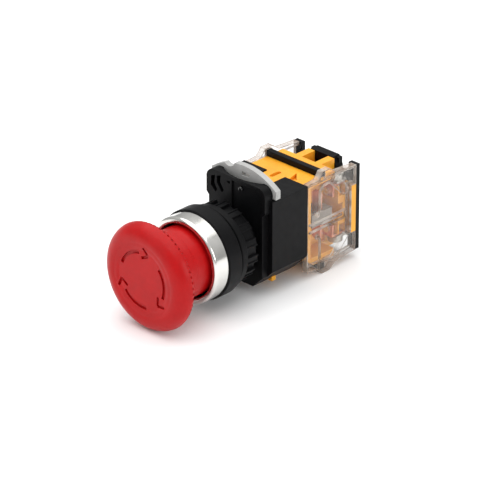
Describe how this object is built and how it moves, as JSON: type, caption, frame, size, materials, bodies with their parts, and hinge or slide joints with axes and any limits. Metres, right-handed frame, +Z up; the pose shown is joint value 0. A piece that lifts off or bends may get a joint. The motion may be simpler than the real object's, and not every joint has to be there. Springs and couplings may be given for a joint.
{
  "type": "emergency stop push button",
  "caption": "Twist-to-release emergency stop button: red mushroom head, chrome ring, panel nut, black base with lock lever, orange contact block with clear side covers.",
  "frame": {"origin": "on the button's axis, in the plane of the gasket's rear face, which lies on the front of the panel", "axes": "+Y rearwards along the button's axis, away from the mushroom; +Z up; +X to the right of a person facing the mushroom"},
  "size_m": [0.04, 0.0943, 0.046],
  "materials": {
    "red_plastic": "smooth moulded, satin gloss",
    "chrome_plate": "polished",
    "black_plastic": "fine moulded texture",
    "black_gloss": "smooth",
    "black_rubber": "soft",
    "grey_plastic": "light grey, smooth moulded",
    "white_plastic": "smooth",
    "smoke_plastic": "smooth, dull brown-grey",
    "orange_plastic": "smooth moulded",
    "clear_plastic": "clear, slightly milky",
    "spring_steel": "drawn wire",
    "plated_steel": "nickel plated",
    "contact_copper": "copper-red strip",
    "contact_silver": "silver tip"
  },
  "bodies": {
    "base": {"operator_body": "black_plastic", "bezel_ring": "chrome_plate", "panel_gasket": "black_rubber", "panel_nut": "black_plastic", "shaft_seal": "black_rubber", "guide_bush": "white_plastic", "return_spring": "spring_steel", "mounting_base": "black_plastic", "stop_pin": "black_gloss", "contact_housing": "orange_plastic", "cross_bar_top": "black_plastic", "cross_bar_bottom": "black_plastic", "rear_plate": "black_plastic", "side_cover_right": "clear_plastic", "side_cover_left": "clear_plastic", "slider_spring": "spring_steel", "nc_terminal_top": "contact_copper", "nc_terminal_bottom": "contact_copper", "no_terminal_top": "contact_copper", "no_terminal_bottom": "contact_copper", "nc_fixed_tips": "contact_silver", "no_fixed_tips": "contact_silver", "clamp_plates": "plated_steel", "terminal_screws": "plated_steel"},
    "mushroom": {"mushroom_cap": "red_plastic", "cap_skirt": "red_plastic", "release_cam": "white_plastic"},
    "plunger": {"plunger": "white_plastic", "retaining_clip": "spring_steel", "twist_spring": "spring_steel", "latch_spring": "spring_steel"},
    "latch_pin_right": {"latch_pin_right": "plated_steel"},
    "latch_pin_left": {"latch_pin_left": "plated_steel"},
    "slider": {"contact_slider": "smoke_plastic", "nc_spring": "spring_steel", "no_spring": "spring_steel"},
    "nc_bridge": {"nc_bridge": "contact_copper", "nc_bridge_tips": "contact_silver"},
    "no_bridge": {"no_bridge": "contact_copper", "no_bridge_tips": "contact_silver"},
    "lock_ring": {"lock_ring": "grey_plastic"}
  },
  "joints": [
    {"name": "button_press", "type": "slide", "parent": "base", "child": "plunger", "axis": [0, 1, 0], "range_m": [0, 0.0045], "stiffness_N_per_m": 2500, "springref_m": -0.004, "deforming": ["return_spring", "slider_spring"]},
    {"name": "button_twist", "type": "hinge", "parent": "plunger", "child": "mushroom", "pos_m": [0, 0, 0], "axis": [0, 1, 0], "range_deg": [0, 45], "stiffness_Nm_per_rad": 0.05, "springref_deg": -11.46, "deforming": ["twist_spring"]},
    {"name": "latch_pin_right_slide", "type": "slide", "parent": "plunger", "child": "latch_pin_right", "axis": [1, 0, 0], "range_m": [0, 0.0009]},
    {"name": "latch_pin_left_slide", "type": "slide", "parent": "plunger", "child": "latch_pin_left", "axis": [-1, 0, 0], "range_m": [0, 0.0009]},
    {"name": "slider_slide", "type": "slide", "parent": "base", "child": "slider", "axis": [0, 1, 0], "range_m": [0, 0.0045]},
    {"name": "nc_bridge_lag", "type": "slide", "parent": "slider", "child": "nc_bridge", "axis": [0, 1, 0], "range_m": [-0.001, 0], "deforming": ["nc_spring"]},
    {"name": "no_bridge_lag", "type": "slide", "parent": "slider", "child": "no_bridge", "axis": [0, 1, 0], "range_m": [-0.0013, 0], "deforming": ["no_spring"]},
    {"name": "lock_ring_turn", "type": "hinge", "parent": "base", "child": "lock_ring", "pos_m": [0, 0.01835, 0], "axis": [0, 1, 0], "range_deg": [-20, 0]}
  ],
  "couplings": [
    {"joint": "latch_pin_right_slide", "follows": "button_press", "ratio": 0.2},
    {"joint": "latch_pin_left_slide", "follows": "button_press", "ratio": 0.2},
    {"joint": "slider_slide", "follows": "button_press", "ratio": 1},
    {"joint": "nc_bridge_lag", "follows": "button_press", "ratio": -0.2222},
    {"joint": "no_bridge_lag", "follows": "button_press", "ratio": -0.2888}
  ]
}
